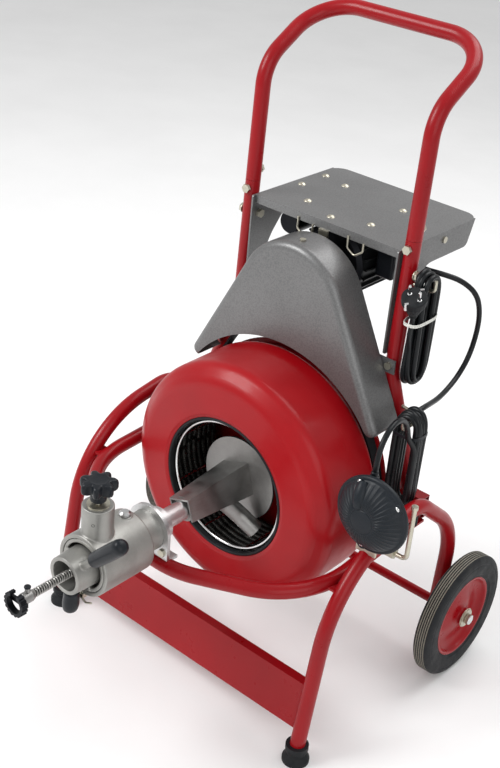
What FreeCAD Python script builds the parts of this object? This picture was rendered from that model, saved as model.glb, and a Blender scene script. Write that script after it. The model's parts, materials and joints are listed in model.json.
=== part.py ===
import FreeCAD
import Part
import Sketcher
import math
import os

# Drum machine for clearing drains: a wheeled tube frame carries a belt-driven cable drum, a
# distributor arm, a hand-set feed unit on the front loop and a motor under the rear tray.
# Millimetres. +Z up, -Y is the front, +X the side with the foot switch.
# The origin is on the ground, midway between the wheels and midway front to back.

V = FreeCAD.Vector
doc = FreeCAD.newDocument("drum_machine")

SIZES = {
    "tube_od": 25.0, "tube_wall": 2.0,
    "side_x": 272.0, "loop_x": 246.0, "upright_x": 160.0,
    "drum_axis_z": 338.0, "drum_radius": 207.0, "drum_wall": 4.0, "drum_mouth": 121.0,
    "drum_front_y": 10.0, "belt_seat": 195.0, "shaft_radius": 10.0, "shaft_bore": 10.06,
    "wheel_x": 315.0, "wheel_y": 289.0, "wheel_radius": 112.0, "wheel_axle_z": 112.0,
    "axle_radius": 8.0, "axle_bore": 8.06, "tyre_inner": 74.0, "rim_bead": 73.98,
    "motor_z": 676.0, "motor_radius": 60.0, "pulley_seat": 28.0, "pulley_length": 26.0,
    "tray_top": 750.0, "tray_sheet": 3.0, "tray_half": 146.5, "tray_depth": 222.0,
    "disc_radius": 72.3, "disc_thick": 4.0, "hub_radius": 20.0, "hub_length": 46.0,
    "ring_radius": 115.0, "wire_radius": 2.5, "cage_rod_length": 155.9,
    "guide_radius": 16.0, "guide_bore": 10.0, "guide_length": 108.0,
    "feed_radius": 50.0, "feed_bore": 9.0, "boss_radius": 24.0, "boss_height": 50.0,
    "cable_radius": 6.0, "cable_length": 340.0,
    "knob_screw": 4.0, "plunger_radius": 9.0, "pedal_radius": 63.0, "pedal_depth": 33.0,
    "pedal_base": 56.0, "rod_radius": 4.0, "rod_bore": 4.06, "foot_radius": 22.0,
    "foot_waist": 15.5, "foot_collar": 18.5, "bar_thick": 5.0,
    "roller_radius": 10.0, "roller_bore": 3.06, "pin_radius": 3.0, "roller_length": 24.0,
    "cap_radius": 20.0, "cap_length": 70.0,
}
S = SIZES

sheet = doc.addObject("Spreadsheet::Sheet", "sizes")
row = 1
for name in SIZES:
    sheet.set("A%d" % row, name)
    sheet.set("B%d" % row, str(SIZES[name]))
    sheet.setAlias("B%d" % row, name)
    row = row + 1
doc.recompute()

NODES = []


def value(entry):
    if isinstance(entry, str):
        return S[entry]
    return float(entry)


def seat(at, direction):
    return FreeCAD.Placement(V(at[0], at[1], at[2]), FreeCAD.Rotation(V(0, 0, 1), direction))


def keep(label, obj):
    obj.Label = label
    NODES.append(obj)
    return obj


def solid_node(label, shape):
    obj = doc.addObject("Part::Feature", label)
    obj.Shape = shape
    return keep(label, obj)


def role_plane(body, role):
    for item in body.Origin.OriginFeatures:
        if item.Role == role:
            return item
    return None


def sketch_polygon(sketch, points):
    # closed outline of straight lines; every corner is held by two dimensions
    count = len(points)
    for i in range(count):
        a = points[i]
        b = points[(i + 1) % count]
        start = V(value(a[0]), value(a[1]), 0)
        stop = V(value(b[0]), value(b[1]), 0)
        sketch.addGeometry(Part.LineSegment(start, stop), False)
    for i in range(count):
        sketch.addConstraint(Sketcher.Constraint("Coincident", i, 2, (i + 1) % count, 1))
    for i in range(count):
        for axis in (0, 1):
            entry = points[i][axis]
            size = value(entry)
            if abs(size) < 1e-9:
                sketch.addConstraint(Sketcher.Constraint("PointOnObject", i, 1, -2 + axis))
                continue
            kind = ("DistanceX", "DistanceY")[axis]
            number = sketch.addConstraint(Sketcher.Constraint(kind, -1, 1, i, 1, size))
            if isinstance(entry, str):
                sketch.setExpression("Constraints[%d]" % number, "sizes." + entry)


def turned(label, profile, at, direction, register=True):
    # profile corners are (radius, height) pairs, turned about the local Z axis
    body = doc.addObject("PartDesign::Body", label + "_body")
    sketch = body.newObject("Sketcher::SketchObject", label + "_profile")
    sketch.AttachmentSupport = [(role_plane(body, "XZ_Plane"), "")]
    sketch.MapMode = "FlatFace"
    sketch_polygon(sketch, profile)
    turn = body.newObject("PartDesign::Revolution", label + "_turn")
    turn.Profile = sketch
    turn.ReferenceAxis = (sketch, ["V_Axis"])
    turn.Angle = 360.0
    body.Tip = turn
    body.Placement = seat(at, direction)
    if register:
        keep(label, body)
    return body


def cylinder(label, radius, height, at, direction, register=True):
    obj = doc.addObject("Part::Cylinder", label + "_cylinder")
    obj.Radius = value(radius)
    obj.Height = value(height)
    if isinstance(radius, str):
        obj.setExpression("Radius", "sizes." + radius)
    if isinstance(height, str):
        obj.setExpression("Height", "sizes." + height)
    obj.Placement = seat(at, direction)
    if register:
        keep(label, obj)
    return obj


def rounded_points(points, radii, closed=False):
    # wire of straight runs joined by tangent arcs
    count = len(points)
    corners = range(count) if closed else range(1, count - 1)
    joins = {}
    for i in corners:
        radius = radii[i]
        a = points[i - 1]
        b = points[i]
        c = points[(i + 1) % count]
        u = (a - b).normalize()
        v = (c - b).normalize()
        half = u.getAngle(v) / 2.0
        if radius <= 0:
            joins[i] = (b, None, b)
            continue
        back = radius / math.tan(half)
        middle = (u + v).normalize()
        centre = b + middle * (radius / math.sin(half))
        joins[i] = (b + u * back, centre - middle * radius, b + v * back)
    edges = []
    if closed:
        here = joins[count - 1][2]
        order = range(count)
    else:
        here = points[0]
        order = range(1, count - 1)
    for i in order:
        first, mid, last = joins[i]
        if (first - here).Length > 1e-6:
            edges.append(Part.makeLine(here, first))
        if mid is not None:
            edges.append(Part.Arc(first, mid, last).toShape())
        here = last
    if not closed:
        edges.append(Part.makeLine(here, points[-1]))
    return Part.Wire(edges)


def swept(points, radii, radius):
    path = rounded_points(points, radii)
    start = points[0]
    along = points[1] - points[0]
    ring = Part.Wire([Part.makeCircle(radius, start, along)])
    return path.makePipeShell([ring], True, False)


def bent_tube(points, radii, outer, wall):
    skin = swept(points, radii, outer / 2.0)
    bore = swept(points, radii, outer / 2.0 - wall)
    return skin.cut(bore)


def turned_shape(profile, radii, at, direction):
    points = []
    for corner in profile:
        points.append(V(corner[0], 0, corner[1]))
    wire = rounded_points(points, radii, True)
    shape = Part.Face(wire).revolve(V(0, 0, 0), V(0, 0, 1), 360)
    shape.Placement = seat(at, direction)
    return shape


def slab(points, radii, depth):
    # closed outline given in world space, extruded by the depth vector
    return Part.Face(rounded_points(points, radii, True)).extrude(depth)


def hexagon(at, direction, flats, height):
    corner = flats / math.sqrt(3.0)
    points = []
    for i in range(7):
        turn = math.radians(60.0 * i)
        points.append(V(corner * math.cos(turn), corner * math.sin(turn), 0))
    shape = Part.Face(Part.makePolygon(points)).extrude(V(0, 0, height))
    shape.Placement = seat(at, direction)
    return shape


def rod(at, direction, radius, height):
    return Part.makeCylinder(radius, height, V(at[0], at[1], at[2]), direction)


X = V(1, 0, 0)
Y = V(0, 1, 0)
Z = V(0, 0, 1)
OD = S["tube_od"]
WALL = S["tube_wall"]
SIDE = S["side_x"]
LOOP = S["loop_x"]
UP = S["upright_x"]
AXIS = S["drum_axis_z"]
WY = S["wheel_y"]
WZ = S["wheel_axle_z"]
MZ = S["motor_z"]

# ---- frame -------------------------------------------------------------------------------
# the front legs lean back, so their foot ends start forward of the bend above
FOOT_Y = -85.0
LEG_LEAN = 52.0 / 338.0


def side_points(side):
    x = side * SIDE
    return [V(x, FOOT_Y + 24.0 * LEG_LEAN, 24.0), V(x, -33.0, 338.0), V(x, 171.5, 372.0),
            V(x, 297.6, 269.0), V(x, WY, 97.0)]


SIDE_BENDS = [0, 184.0, 72.0, 127.0, 0]
side_skins = []
for side, name in ((-1, "side_frame_left"), (1, "side_frame_right")):
    tube = bent_tube(side_points(side), SIDE_BENDS, OD, WALL)
    bore = rod((side * SIDE - 20.0, WY, WZ), X, S["axle_radius"], 40.0)
    solid_node(name, tube.cut(bore))
    side_skins.append(swept(side_points(side), SIDE_BENDS, OD / 2.0))

LOOP_SLOPE = 0.055
LOOP_FRONT_Y = -153.0
LOOP_FRONT_Z = 287.0


def loop_z(y):
    return LOOP_FRONT_Z + (y - LOOP_FRONT_Y) * LOOP_SLOPE


def upright_y(z):
    return 225.5 - 0.028 * (962.0 - z)


JOINT_Z = 770.0
BEND_Z = 545.0
REAR_Y = 212.0
CORNER_Y = -66.0
loop_points = []
for side in (-1, 1):
    half = [V(side * UP, upright_y(JOINT_Z), JOINT_Z), V(side * UP, upright_y(BEND_Z), BEND_Z),
            V(side * LOOP, REAR_Y, loop_z(REAR_Y)), V(side * LOOP, CORNER_Y, loop_z(CORNER_Y)),
            V(side * 58.5, LOOP_FRONT_Y, LOOP_FRONT_Z)]
    if side > 0:
        half.reverse()
    loop_points = loop_points + half
LOOP_BENDS = [0, 80.0, 60.0, 150.0, 150.0, 150.0, 150.0, 60.0, 80.0, 0]
solid_node("lower_frame_tube", bent_tube(loop_points, LOOP_BENDS, OD, WALL))
loop_skin = swept(loop_points, LOOP_BENDS, OD / 2.0)

HANDLE_BEND = V(UP, 225.5, 962.0)
HANDLE_TOP = V(UP, 359.5, 1043.9)
grip_points = [V(-UP, upright_y(JOINT_Z + 0.5), JOINT_Z + 0.5),
               V(-UP, HANDLE_BEND.y, HANDLE_BEND.z), V(-UP, HANDLE_TOP.y, HANDLE_TOP.z),
               V(UP, HANDLE_TOP.y, HANDLE_TOP.z), V(UP, HANDLE_BEND.y, HANDLE_BEND.z),
               V(UP, upright_y(JOINT_Z + 0.5), JOINT_Z + 0.5)]
solid_node("handle_loop", bent_tube(grip_points, [0, 68.0, 76.0, 76.0, 68.0, 0], OD, WALL))

# plugs inside the joint of handle and uprights, clear of both bores
spigots = []
for side in (-1, 1):
    low = V(side * UP, upright_y(JOINT_Z - 40.0), JOINT_Z - 40.0)
    high = V(side * UP, upright_y(JOINT_Z + 40.0), JOINT_Z + 40.0)
    spigots.append(Part.makeCylinder(OD / 2.0 - WALL - 0.2, 80.0, low, high - low))

# flat bar between the front legs, in the plane of the legs
BAR_LOW = 56.0
BAR_HIGH = 137.0
outline = []
for x, z in ((-262.0, BAR_LOW), (262.0, BAR_LOW), (262.0, BAR_HIGH), (-262.0, BAR_HIGH)):
    outline.append(V(x, FOOT_Y + z * LEG_LEAN - S["bar_thick"] / 2.0, z))
bar = slab(outline, [0, 0, 0, 0], V(0, S["bar_thick"], 0))
for z, up in ((BAR_HIGH - 5.0, 1), (BAR_LOW, 1)):
    y = FOOT_Y + z * LEG_LEAN + 1.0
    bar = bar.fuse(Part.makeBox(516.0, 14.0, 5.0, V(-258.0, y, z)))
for skin in side_skins:
    bar = bar.cut(skin)
solid_node("crossbar", bar)

# rubber feet with the legs pressed in
feet = []
for side, name in ((-1, "rubber_foot_left"), (1, "rubber_foot_right")):
    foot = turned(name, [(0, 0), ("foot_radius", 0), ("foot_radius", 6), ("foot_waist", 15),
                         ("foot_waist", 21), ("foot_collar", 24), ("foot_collar", 33), (0, 33)],
                  (side * SIDE, FOOT_Y + 27.0 * LEG_LEAN, 0), Z, False)
    socket = doc.addObject("Part::Feature", name + "_socket")
    first = V(side * SIDE, FOOT_Y + 23.9 * LEG_LEAN, 23.9)
    socket.Shape = Part.makeCylinder(OD / 2.0 + 0.02, 30.0, first, V(0, LEG_LEAN, 1))
    cut = doc.addObject("Part::Cut", name + "_cut")
    cut.Base = foot
    cut.Tool = socket
    feet.append(cut)

# axle with the spacers, washers and end nuts that hold each wheel
cylinder("axle_rod", "axle_radius", 672.0, (-336.0, WY, WZ), X)
hardware = []
for side in (-1, 1):
    along = V(side, 0, 0)
    spacer = rod((side * 285.0, WY, WZ), along, 13.0, 10.0)
    hardware.append(spacer.cut(rod((side * 280.0, WY, WZ), along, 8.02, 20.0)))
    washer = rod((side * 333.0, WY, WZ), along, 16.0, 2.5)
    hardware.append(washer.cut(rod((side * 330.0, WY, WZ), along, 8.02, 10.0)))
    hardware.append(hexagon((side * 336.1, WY, WZ), along, 17.0, 6.9))
solid_node("axle_hardware", Part.makeCompound(hardware))

# weld tabs between the side frames and the lower tube, small struts and rubber stops
tabs = []
for side in (-1, 1):
    tabs.append(Part.makeBox(22.0, 26.0, 4.0, V(side * 259.0 - 11.0, -22.0, loop_z(-9.0) - 2.0)))
    tabs.append(Part.makeBox(22.0, 26.0, 4.0, V(side * 259.0 - 11.0, 174.0, 322.0)))
    low = V(side * 252.0, 118.0, loop_z(118.0) + 8.0)
    high = V(side * 267.0, 148.0, 352.0)
    tabs.append(Part.makeCylinder(4.5, (high - low).Length, low, high - low))
struts = []
for tab in tabs:
    for skin in side_skins + [loop_skin]:
        tab = tab.cut(skin)
    struts = struts + tab.Solids
solid_node("frame_struts", Part.makeCompound(struts))

stops = []
for side in (-1, 1):
    peg = rod((side * SIDE, 162.0, 336.0), Z, 7.0, 26.0)
    for skin in side_skins:
        peg = peg.cut(skin)
    stops.append(peg)
pegs = doc.addObject("Part::Feature", "rubber_stops")
pegs.Shape = Part.makeCompound(stops)
rubber = doc.addObject("Part::Compound", "rubber_feet")
rubber.Links = feet + [pegs]
keep("rubber_feet", rubber)

# rear crossmember carrying the fixed drum shaft, ends coped to the sloping uprights
beam = Part.makeBox(520.0, 22.0, 40.0, V(-260.0, 201.0, AXIS - 20.0))
beam = beam.cut(Part.makeBox(522.0, 18.0, 36.0, V(-261.0, 203.0, AXIS - 18.0)))
for skin in side_skins + [loop_skin]:
    beam = beam.cut(skin)
pieces = sorted(beam.Solids, key=lambda part: part.Volume)
beam = pieces[-1]
beam = beam.cut(rod((0, 190.0, AXIS), Y, 24.0, 45.0))
solid_node("drum_crossmember", beam)
turned("drum_shaft", [(0, 0), ("shaft_radius", 0), ("shaft_radius", 130), (32, 130), (32, 138),
                      (23.9, 138), (23.9, 167), (0, 167)], (0, 62.0, AXIS), Y)

# ---- tray --------------------------------------------------------------------------------
TOP = S["tray_top"]
HALF = S["tray_half"]
SHEET = S["tray_sheet"]
FRONT = 211.0
BACK = FRONT + S["tray_depth"]
tray = slab([V(-HALF, FRONT, TOP - SHEET), V(HALF, FRONT, TOP - SHEET),
             V(HALF, BACK, TOP - SHEET), V(-HALF, BACK, TOP - SHEET)],
            [0, 0, 26.0, 26.0], V(0, 0, SHEET))
tray = tray.fuse(Part.makeBox(2 * HALF - 8.0, SHEET, 14.0, V(-HALF + 4.0, FRONT, TOP - 14.0)))
FLANGE = [(204.0, TOP), (204.0, 575.0), (214.0, 575.0), (236.0, 625.0), (262.0, 672.0),
          (290.0, 706.0), (404.0, 706.0), (420.0, TOP)]
for x in (-HALF, HALF - SHEET):
    cheek = []
    for y, z in FLANGE:
        cheek.append(V(x, y, z))
    radii = [4.0, 4.0, 4.0, 90.0, 90.0, 30.0, 12.0, 0]
    tray = tray.fuse(slab(cheek, radii, V(SHEET, 0, 0)))
tray = tray.removeSplitter()
solid_node("motor_tray", tray)

screws = []
for x, y in ((-128.0, 311.0), (-128.0, 376.0), (-77.0, 364.0), (-73.0, 258.0), (-6.0, 233.0),
             (55.0, 258.0), (52.0, 350.0)):
    head = Part.makeSphere(8.5, V(x, y, TOP - 5.0)).common(rod((x, y, TOP + 0.02), Z, 9.0, 5.0))
    screws.append(head)
screws.append(rod((HALF + 0.02, 332.0, 736.0), X, 5.5, 2.5))

bolts = []
for side in (-1, 1):
    along = V(side, 0, 0)
    y = upright_y(716.0)
    bolts.append(hexagon((side * (UP + OD / 2.0 + 0.05), y, 716.0), along, 13.0, 5.5))
    bolts.append(hexagon((side * (HALF - SHEET - 0.05), y + 3.0, 716.0), V(-side, 0, 0), 13.0, 6.5))
    y = upright_y(757.0) - OD / 2.0 - 0.3
    bolts.append(hexagon((side * UP, y, 757.0), V(0, -1, 0), 13.0, 5.5))
    y = upright_y(785.0) + OD / 2.0 + 0.3
    bolts.append(hexagon((side * UP, y, 785.0), Y, 13.0, 5.5))

# ---- belt drive --------------------------------------------------------------------------
GUARD_FRONT = 133.0
GUARD_BACK = 198.0


def guard_solid(inset, front, back, edge):
    apex = V(0, front, 850.0 - inset / math.sin(math.radians(27.68)))
    low = 463.0 + inset
    tip = 203.0 - inset * 1.1
    points = [apex, V(tip, front, low), V(-tip, front, low)]
    shape = slab(points, [103.0 - inset, 14.0 - inset, 14.0 - inset], V(0, back - front, 0))
    rim = []
    for line in shape.Edges:
        box = line.BoundBox
        if box.YMax < front + 0.01:
            rim.append(line)
    return shape.makeFillet(edge, rim)


guard = guard_solid(0, GUARD_FRONT, GUARD_BACK, 13.0)
guard = guard.cut(guard_solid(2.0, GUARD_FRONT + 2.0, GUARD_BACK + 1.0, 11.0))
guard = guard.cut(rod((0, 100.0, AXIS), Y, 222.0, 120.0))
solid_node("belt_guard", guard)

# back sheet of the guard and the strap that fixes it to the uprights
STRAP_Z = 562.0
plate = slab([V(0, 198.3, 838.0), V(188.0, 198.3, 490.0), V(-188.0, 198.3, 490.0)],
             [102.0, 10.0, 10.0], V(0, 2.0, 0))
plate = plate.cut(rod((0, 190.0, AXIS), Y, 226.0, 20.0))
plate = plate.cut(rod((0, 190.0, MZ), Y, 20.0, 20.0))
strap = Part.makeBox(344.0, 2.5, 24.0, V(-172.0, 200.35, STRAP_Z - 12.0)).cut(loop_skin)
solid_node("guard_backplate", Part.makeCompound([plate, strap]))
for side in (-1, 1):
    screws.append(rod((side * UP, 200.3, STRAP_Z), V(0, -1, 0), 6.0, 3.5))
screws.append(rod((0, 158.0, 731.5), Z, 5.0, 2.5))
solid_node("sheet_screws", Part.makeCompound(screws))


def belt_loop(drum, pulley, front, width):
    # closed belt outline round two wheels, as a solid prism
    span = MZ - AXIS
    tilt = math.asin((drum - pulley) / span)
    c = math.cos(tilt)
    s = math.sin(tilt)
    right_low = V(drum * c, front, AXIS + drum * s)
    right_high = V(pulley * c, front, MZ + pulley * s)
    left_low = V(-drum * c, front, AXIS + drum * s)
    left_high = V(-pulley * c, front, MZ + pulley * s)
    edges = [Part.makeLine(right_low, right_high),
             Part.Arc(right_high, V(0, front, MZ + pulley), left_high).toShape(),
             Part.makeLine(left_high, left_low),
             Part.Arc(left_low, V(0, front, AXIS - drum), right_low).toShape()]
    return Part.Face(Part.Wire(edges)).extrude(V(0, width, 0))


SEAT = S["belt_seat"]
belt = belt_loop(SEAT + 4.5, S["pulley_seat"] + 4.5, 157.0, 18.0)
belt = belt.cut(belt_loop(SEAT + 0.5, S["pulley_seat"] + 0.5, 156.0, 20.0))
solid_node("drive_belt", belt)

turned("motor_pulley", [(0, 0), (33.5, 0), (33.5, 1.5), ("pulley_seat", 3), ("pulley_seat", 23),
                        (33.5, 24.5), (33.5, "pulley_length"), (16, "pulley_length"),
                        (16, 36), (7, 36), (7, 84), (0, 84)], (0, 153.0, MZ), Y)

# ---- motor -------------------------------------------------------------------------------
MR = S["motor_radius"]
motor = rod((0, 246.0, MZ), Y, MR, 130.0)
for i in range(24):
    angle = 15.0 * i
    fin = Part.makeBox(7.0, 126.0, 3.0, V(MR - 1.5, 248.0, -1.5))
    fin.rotate(V(0, 0, 0), Y, angle)
    fin.translate(V(0, 0, MZ))
    motor = motor.fuse(fin)
motor = motor.common(Part.makeBox(160.0, 140.0, 140.0, V(-80.0, 240.0, MZ - 80.0)).cut(
    Part.makeBox(170.0, 150.0, 40.0, V(-85.0, 235.0, 738.0))))
motor = motor.cut(rod((0, 200.0, MZ), Y, 7.06, 40.5))
solid_node("motor_housing", motor)
bell = turned("motor_bell", [(7.06, 0), (24, 0), (30, 6), (52, 8), (59.5, 14), (59.5, 15.9), (7.06, 15.9)],
              (0, 230.0, MZ), Y, False)
fan = turned("motor_fan", [(0, 0), (60, 0), (60, 22), (52, 30), (0, 30)], (0, 376.1, MZ), Y, False)
store = turned("motor_capacitor", [(0, 0), (18, 0), ("cap_radius", 3), ("cap_radius", "cap_length"),
                                   (0, "cap_length")], (-90.0, 236.0, 712.0), Y, False)
covers = doc.addObject("Part::Compound", "motor_covers")
covers.Links = [bell, fan, store]
keep("motor_covers", covers)
mount = Part.makeBox(110.0, 110.0, 4.0, V(-55.0, 256.0, 738.2))
mount = mount.fuse(Part.makeBox(40.0, 30.0, 4.7, V(-20.0, 256.0, 742.1)))
mount = mount.fuse(Part.makeBox(40.0, 30.0, 4.7, V(-20.0, 336.0, 742.1)))
mount = mount.fuse(Part.makeBox(58.0, 30.0, 3.0, V(-110.0, 256.0, 738.2)))
mount = mount.fuse(Part.makeBox(3.0, 30.0, 10.0, V(-110.0, 256.0, 731.9)))
box_shape = Part.makeBox(34.0, 70.0, 50.0, V(65.6, 268.0, 664.0))
box_shape = box_shape.makeFillet(5.0, box_shape.Edges)
solid_node("terminal_box", box_shape)
clips = [mount]
for x in (-52.0, 48.0):
    clip = [V(x, 209.3, 742.0), V(x, 209.3, 722.0), V(x + 16.0, 207.7, 714.0),
            V(x + 30.0, 209.3, 724.0), V(x + 30.0, 209.3, 738.0)]
    clips.append(swept(clip, [0, 6.0, 7.0, 6.0, 0], 1.6))
lug = Part.makeBox(18.0, 3.0, 30.0, V(-9.0, 207.9, 706.0))
clips.append(lug)
solid_node("motor_mount", Part.makeCompound(clips))

# ---- drum --------------------------------------------------------------------------------
WALLD = S["drum_wall"]
DR = S["drum_radius"]
MOUTH = S["drum_mouth"]
front_shell = turned_shape(
    [(MOUTH, 2.0), (MOUTH + 6.0, 0.0), (182.0, 4.0), (DR, 24.0), (DR, 88.0), (DR - WALLD, 88.0),
     (DR - WALLD, 26.0), (181.0, 8.0), (MOUTH + 6.0, 4.0), (MOUTH, 6.0)],
    [1.0, 8.0, 30.0, 22.0, 0, 0, 18.0, 26.0, 4.0, 1.0], (0, S["drum_front_y"], AXIS), Y)
solid_node("drum_front_shell", front_shell)
rear_shell = turned_shape(
    [(DR, 0.0), (DR, 48.0), (200.0, 53.0), (SEAT, 55.0), (SEAT, 79.0), (202.0, 81.0), (202.0, 86.0),
     (34.0, 86.0), (34.0, 82.0), (190.0, 82.0), (190.0, 51.0), (203.0, 44.0), (203.0, 0.0)],
    [0, 10.0, 0, 0, 0, 0, 1.0, 0, 0, 3.0, 3.0, 6.0, 0], (0, 98.1, AXIS), Y)
solid_node("drum_rear_shell", rear_shell)
turned("drum_hub", [("shaft_bore", 0), (22, 0), (22, 46), (33.8, 46), (33.8, 50), (48, 50),
                    (48, 54), (22, 54), (22, 60), ("shaft_bore", 60)], (0, 126.0, AXIS), Y)
lip = turned_shape([(115.5, 0.0), (120.6, 0.0), (120.6, 12.0), (115.5, 12.0)],
                   [2.4, 2.4, 2.4, 2.4], (0, 11.0, AXIS), Y)
solid_node("drum_lip_trim", lip)
ring = Part.makeTorus(S["ring_radius"] - 4.0, S["wire_radius"], V(0, 22.0, AXIS), Y)
RODS = 8
cage = [ring]
for i in range(RODS):
    turn = math.radians(360.0 / RODS * i + 22.5)
    x = (S["ring_radius"] + 1.1) * math.cos(turn)
    z = AXIS + (S["ring_radius"] + 1.1) * math.sin(turn)
    cage.append(rod((x, 24.0, z), Y, S["wire_radius"], S["cage_rod_length"]))
solid_node("cage_ring_and_rods", Part.makeCompound(cage))
coil = turned_shape([(128.0, 0.0), (198.0, 0.0), (198.0, 96.0), (128.0, 96.0)],
                    [12.0, 22.0, 10.0, 10.0], (0, 44.0, AXIS), Y)
solid_node("stored_cable_coil", coil)

# ---- distributor (turns inside the drum) ---------------------------------------------------
turned("distributor_disc", [(0, 0), ("disc_radius", 0), ("disc_radius", "disc_thick"),
                            ("hub_radius", "disc_thick"), ("hub_radius", "hub_length"),
                            ("shaft_bore", "hub_length"), ("shaft_bore", 6), (0, 6)],
       (0, 53.0, AXIS), Y)


def tapered(front_y, rear_y, front, rear):
    # front and rear are (half width, low z, high z)
    wires = []
    for y, (half, low, high) in ((front_y, front), (rear_y, rear)):
        wires.append(Part.makePolygon([V(-half, y, low), V(half, y, low), V(half, y, high),
                                       V(-half, y, high), V(-half, y, low)]))
    return Part.makeLoft(wires, True, True)


# the arm stands a little off upright, where the drum happened to stop
ARM_TURN = -20.0
arm = tapered(-84.0, 52.98, (21.0, 320.0, 357.0), (27.0, 312.0, 367.0))
arm = arm.cut(tapered(-86.0, 53.5, (18.0, 300.0, 354.0), (24.0, 300.0, 364.0)))
arm.rotate(V(0, 0, AXIS), Y, ARM_TURN)
arm = arm.fuse(rod((0, -78.0, AXIS), Y, 21.0, 30.0))
arm = arm.cut(rod((0, -90.0, AXIS), Y, S["guide_radius"] + 0.02, 52.0))
solid_node("distributor_arm", arm)

guide = rod((0, -147.0, AXIS), Y, S["guide_radius"], S["guide_length"])
guide = guide.fuse(rod((0, -144.5, AXIS), Y, 27.0, 14.0))
guide = guide.cut(rod((0, -150.0, AXIS), Y, S["guide_bore"], 115.0))
down = [V(0, -33.0, AXIS - 1.0), V(0, 4.0, 322.0), V(12.0, 26.0, 286.0), V(30.0, 38.0, 255.0)]
outlet = bent_tube(down, [0, 40.0, 40.0, 0], 30.0, 2.0)
outlet.rotate(V(0, 0, AXIS), Y, ARM_TURN)
solid_node("guide_tube", Part.makeCompound([guide, outlet]))

# ---- feed unit ---------------------------------------------------------------------------
bracket = slab([V(-42.0, -157.0, 299.7), V(42.0, -157.0, 299.7), V(42.0, -157.0, 380.0),
                V(-42.0, -157.0, 380.0)], [0, 0, 41.9, 41.9], V(0, 6.0, 0))
bracket = bracket.cut(rod((0, -170.0, AXIS), Y, 33.1, 40.0))
bracket = bracket.fuse(Part.makeBox(84.0, 24.0, 5.0, V(-42.0, -157.0, 295.0)))
bracket = bracket.cut(loop_skin)
bracket = sorted(bracket.Solids, key=lambda part: part.Volume)[-1]
solid_node("feed_bracket", bracket)
for x in (-31.0, 31.0):
    bolts.append(hexagon((x, -150.9, 309.5), Y, 12.0, 6.0))
    bolts.append(hexagon((x, -157.1, 309.5), V(0, -1, 0), 12.0, 3.0))
solid_node("frame_bolts", Part.makeCompound(bolts + spigots))

FR = S["feed_radius"]
feed = rod((0, -292.0, AXIS), Y, FR, 98.0)
feed = feed.fuse(Part.makeCone(FR, 33.0, 8.0, V(0, -194.0, AXIS), Y))
feed = feed.fuse(rod((0, -187.0, AXIS), Y, 33.0, 38.0))
feed = feed.fuse(rod((0, -264.0, AXIS + 38.0), Z, S["boss_radius"], S["boss_height"] + 8.0))
feed = feed.fuse(rod((0, -209.0, AXIS + 42.0), Z, 11.0, 9.0))
feed = feed.cut(rod((0, -293.0, AXIS), Y, 43.0, 43.0))
feed = feed.cut(rod((0, -300.0, AXIS), Y, S["feed_bore"], 160.0))
feed = feed.cut(rod((0, -264.0, AXIS + 30.0), Z, S["knob_screw"] + 0.06, 80.0))
feed = feed.cut(rod((0, -209.0, AXIS + 44.0), Z, 4.06, 8.0))
solid_node("feed_body", feed)
pins = []
for i in range(3):
    turn = math.radians(90.0 + 120.0 * i)
    x = 16.4 * math.cos(turn)
    z = AXIS + 16.4 * math.sin(turn)
    pins.append(rod((x, -281.0, z), Y, S["pin_radius"], 30.9))
    turned("feed_roller_%d" % (i + 1),
           [("roller_bore", 0), ("roller_radius", 0), ("roller_radius", "roller_length"),
            ("roller_bore", "roller_length")], (x, -279.0, z), Y)
solid_node("roller_pins", Part.makeCompound(pins))
clip_path = [V(-22.0, -293.8, 283.0), V(-10.0, -293.8, 277.0), V(0.0, -293.8, 283.0),
             V(10.0, -293.8, 277.0), V(22.0, -293.8, 283.0)]
clip = swept(clip_path, [0, 5.0, 5.0, 5.0, 0], 1.6)
ear = Part.makeBox(8.0, 8.5, 7.0, V(-4.0, -294.5, 281.0)).cut(rod((0, -290.0, AXIS), Y, FR, 20.0))
washer = rod((0, -264.0, AXIS + 96.05), Z, 17.0, 2.0).cut(rod((0, -264.0, AXIS + 95.0), Z, 6.0, 5.0))
solid_node("feed_trim", Part.makeCompound([clip.cut(ear), ear.cut(clip), washer]))

# turning nose: hub, three webs, rim and two hand levers
nose = Part.makeCone(30.0, 32.0, 43.0, V(0, -328.0, AXIS), Y)
for i in range(3):
    turn = 45.0 + 120.0 * i
    web = Part.makeBox(40.0, 7.0, 12.0, V(0, -292.5, -6.0))
    web.rotate(V(0, 0, 0), V(0, -1, 0), turn)
    web.translate(V(0, 0, AXIS))
    nose = nose.fuse(web)
rim = rod((0, -291.5, AXIS), Y, 42.6, 6.0).cut(rod((0, -292.0, AXIS), Y, 36.5, 8.0))
nose = nose.fuse(rim)
grips = []
for turn, start, grip_end, size in ((45.0, 57.0, 140.0, 13.0), (265.0, 38.0, 78.0, 13.0)):
    angle = math.radians(turn)
    out = V(math.cos(angle), 0, math.sin(angle))
    foot = V(0, -309.0, AXIS) + out * 20.0
    stem = Part.makeCone(8.0, 5.0, start - 19.8, foot, out)
    nose = nose.fuse(stem)
    base = V(0, -309.0, AXIS) + out * (start + 0.3)
    grip = Part.makeCylinder(size, grip_end - start, base, out)
    grips.append(grip.makeFillet(5.0, grip.Edges[0:1] + grip.Edges[2:3]))
nose = nose.cut(Part.makeCone(24.5, 21.0, 60.0, V(0, -340.0, AXIS), Y))
solid_node("feed_nose", nose)
solid_node("lever_grips", Part.makeCompound(grips))

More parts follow.
